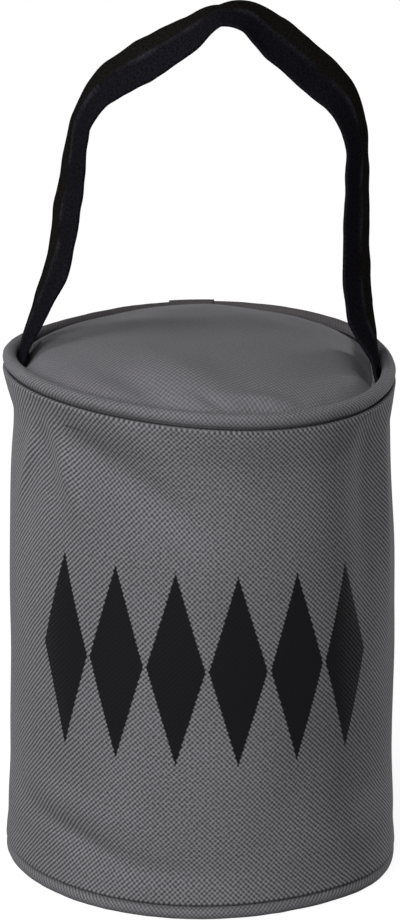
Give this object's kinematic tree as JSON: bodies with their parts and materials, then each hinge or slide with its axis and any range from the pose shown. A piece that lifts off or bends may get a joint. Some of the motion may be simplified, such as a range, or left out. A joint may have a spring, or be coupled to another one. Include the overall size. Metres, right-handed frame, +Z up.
{
  "type": "weighted fabric door stop",
  "caption": "Soft cylinder of grey canvas filled with sand, piped round both ends, with a domed top and a cloth tape handle, that holds a door open by its weight.",
  "frame": {"origin": "centre of the base, on the surface it stands on", "axes": "+Z up, the printed front towards -Y, the ends of the handle at -X and +X"},
  "size_m": [0.1231, 0.1219, 0.2728],
  "materials": {
    "canvas": "grey woven polyester canvas, matt",
    "piping": "the same grey canvas, cut on the bias",
    "piping_cord": "undyed twisted cotton cord",
    "black_tape": "soft black cloth tape, faint sheen",
    "sand_bag": "plain woven sacking"
  },
  "bodies": {
    "root": {"side_panel": "canvas", "top_panel": "canvas", "base_panel": "canvas", "top_piping": "piping", "base_piping": "piping", "top_piping_cord": "piping_cord", "base_piping_cord": "piping_cord", "handle_strap": "black_tape", "sand_bag": "sand_bag"}
  },
  "joints": []
}
